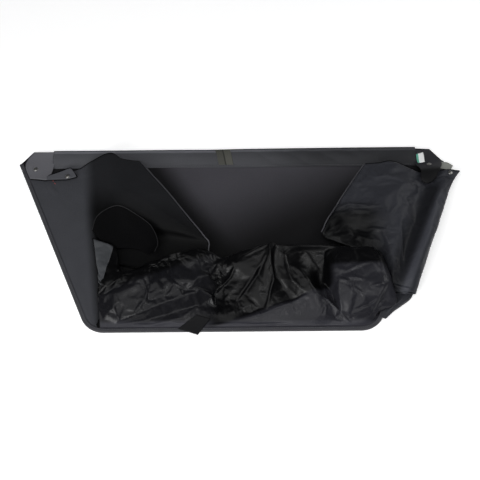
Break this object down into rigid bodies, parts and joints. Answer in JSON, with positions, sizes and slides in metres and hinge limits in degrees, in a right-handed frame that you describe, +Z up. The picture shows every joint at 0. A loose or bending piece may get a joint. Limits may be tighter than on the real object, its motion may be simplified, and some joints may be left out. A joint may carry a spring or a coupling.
{
  "type": "lawn sweeper hopper bag",
  "caption": "Fabric hopper bag lying on its stiff rear panel, side walls folded in over it, with a tube sleeve, snap tabs and a thin crumpled bottom wall.",
  "frame": {"origin": "centre of the whole part's bounding box, on the floor that the rear panel lies on", "axes": "+X along the panel's bottom edge to the right, +Y up the panel towards the tube sleeve, +Z up from the floor"},
  "size_m": [1.1378, 0.5266, 0.0635],
  "materials": {
    "panel_cloth": "coated woven polyester, matt charcoal",
    "binding_tape": "folded polyester binding tape, near black",
    "sleeve_cloth": "woven polyester with a visible weave, charcoal",
    "patch_tape": "matt olive grey cloth tape",
    "left_wall_cloth": "coated polyester, matt with a faint sheen",
    "right_wall_cloth": "softer coated polyester, slight sheen, wrinkled",
    "vinyl": "thin glossy black vinyl film, crumpled",
    "gusset_cloth": "matt black coated cloth",
    "tab_cloth": "dense matt cloth, mid grey charcoal",
    "pale_webbing": "pale grey woven webbing",
    "label_film": "white film with a plain green band",
    "snap_steel": "nickel plated steel"
  },
  "bodies": {
    "root": {"rear_panel": "panel_cloth", "edge_binding": "binding_tape", "top_sleeve": "sleeve_cloth", "sleeve_patch": "patch_tape", "left_side_wall": "left_wall_cloth", "right_side_wall": "right_wall_cloth", "bottom_wall": "vinyl", "left_gusset": "gusset_cloth", "left_mouth_piping": "binding_tape", "right_mouth_piping": "binding_tape", "left_corner_tab": "tab_cloth", "left_side_tab": "left_wall_cloth", "right_corner_tab": "tab_cloth", "corner_webbing": "pale_webbing", "pull_tab": "gusset_cloth", "corner_pleat": "vinyl", "blank_label": "label_film", "left_corner_snap_cap": "snap_steel", "left_corner_snap_socket": "snap_steel", "left_side_snap_cap": "snap_steel", "left_side_snap_socket": "snap_steel", "right_corner_snap_cap": "snap_steel", "right_corner_snap_socket": "snap_steel", "right_wall_snap_cap": "snap_steel", "right_wall_snap_socket": "snap_steel"}
  },
  "joints": []
}
